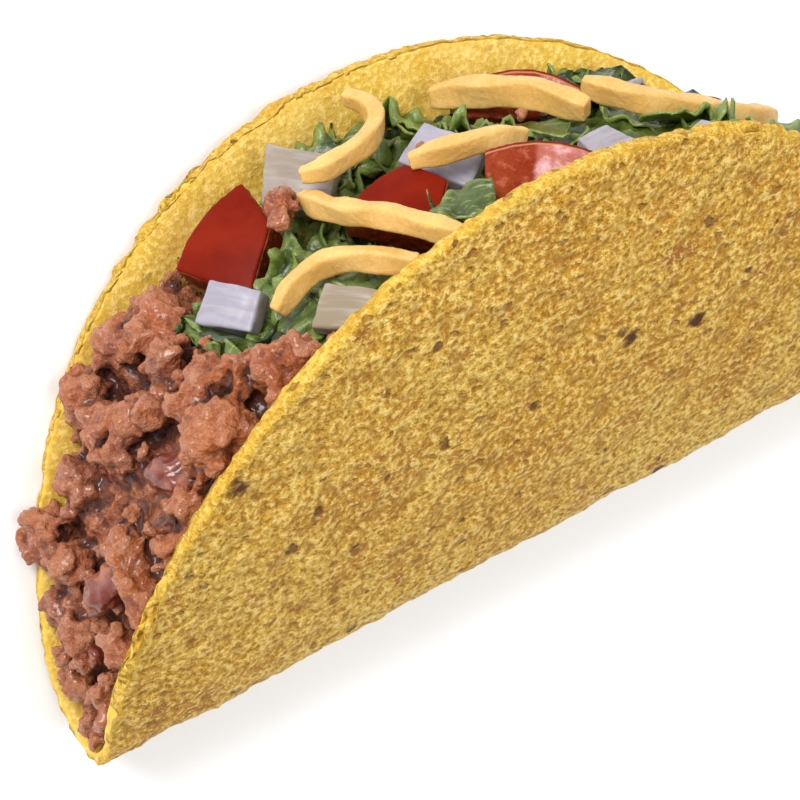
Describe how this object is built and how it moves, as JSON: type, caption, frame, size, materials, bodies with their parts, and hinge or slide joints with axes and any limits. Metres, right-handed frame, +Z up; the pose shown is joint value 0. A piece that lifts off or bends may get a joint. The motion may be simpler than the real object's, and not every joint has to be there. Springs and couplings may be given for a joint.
{
  "type": "hard-shell taco",
  "caption": "Folded crisp corn shell filled with mashed beans, lettuce, diced tomato and onion and shredded cheese, lying on its back wall with the open mouth to the side.",
  "frame": {"origin": "under the middle of the taco's box, on the surface that it lies on", "axes": "+X along the fold, from the end where the beans show to the end where the lettuce hangs out; +Y from the fold towards the open mouth; +Z up, from the back wall that the taco lies on to the front wall"},
  "size_m": [0.14, 0.07, 0.0504],
  "materials": {
    "corn_shell": "rough, toasted",
    "beans": "moist, lumpy",
    "lettuce": "glossy, crinkled",
    "tomato": "smooth, wet",
    "onion": "translucent, wet",
    "cheese": "satin"
  },
  "bodies": {
    "root": {"shell": "corn_shell", "beans": "beans", "lettuce": "lettuce", "tomato_1": "tomato", "tomato_2": "tomato", "tomato_3": "tomato", "tomato_4": "tomato", "tomato_5": "tomato", "tomato_6": "tomato", "onion_1": "onion", "onion_2": "onion", "onion_3": "onion", "onion_4": "onion", "onion_5": "onion", "onion_6": "onion", "onion_7": "onion", "cheese_1": "cheese", "cheese_2": "cheese", "cheese_3": "cheese", "cheese_4": "cheese", "cheese_5": "cheese", "cheese_6": "cheese", "cheese_7": "cheese"}
  },
  "joints": []
}
